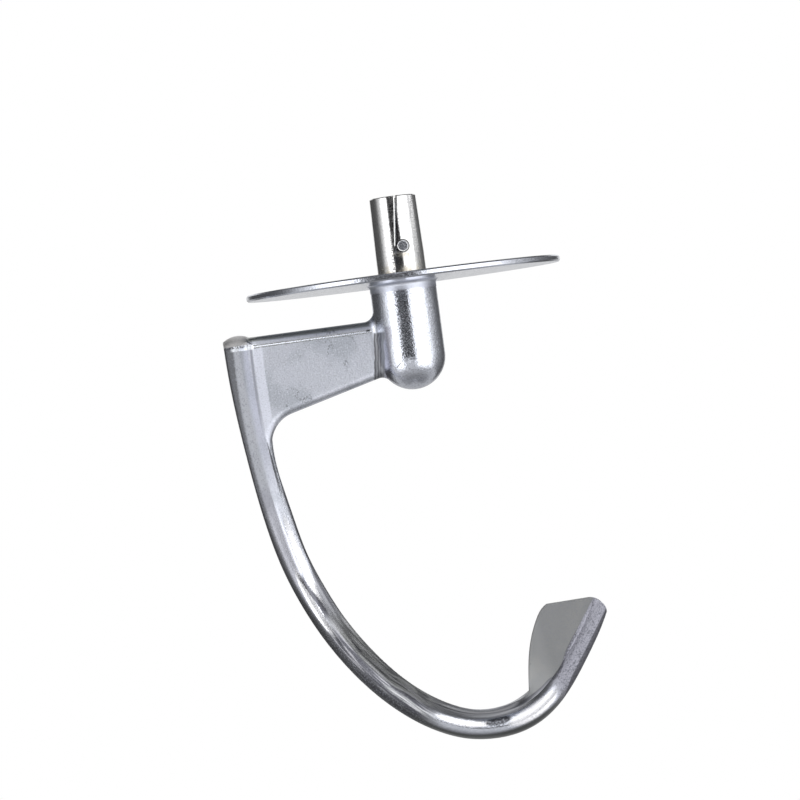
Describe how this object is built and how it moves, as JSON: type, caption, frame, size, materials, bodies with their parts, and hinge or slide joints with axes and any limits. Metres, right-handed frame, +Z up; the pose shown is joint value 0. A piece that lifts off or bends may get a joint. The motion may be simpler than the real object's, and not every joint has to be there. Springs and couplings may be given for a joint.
{
  "type": "stand mixer dough hook",
  "caption": "Cast metal dough hook with a round shield disc, a bullet-shaped hub, a curved bar that spreads into a blade, and a tapered steel-sleeved shank.",
  "frame": {"origin": "on the turning axis, where the shank leaves the top face of the shield disc", "axes": "+Z up along the shank, -X towards the hook bar's root, +Y the side that the blade is set back to"},
  "size_m": [0.0963, 0.088, 0.1539],
  "materials": {
    "cast_metal": "tumbled bluish-grey casting with a fine orange-peel grain",
    "sleeve_steel": "bright polished steel"
  },
  "bodies": {
    "root": {"hook_casting": "cast_metal", "shank_sleeve": "sleeve_steel"}
  },
  "joints": []
}
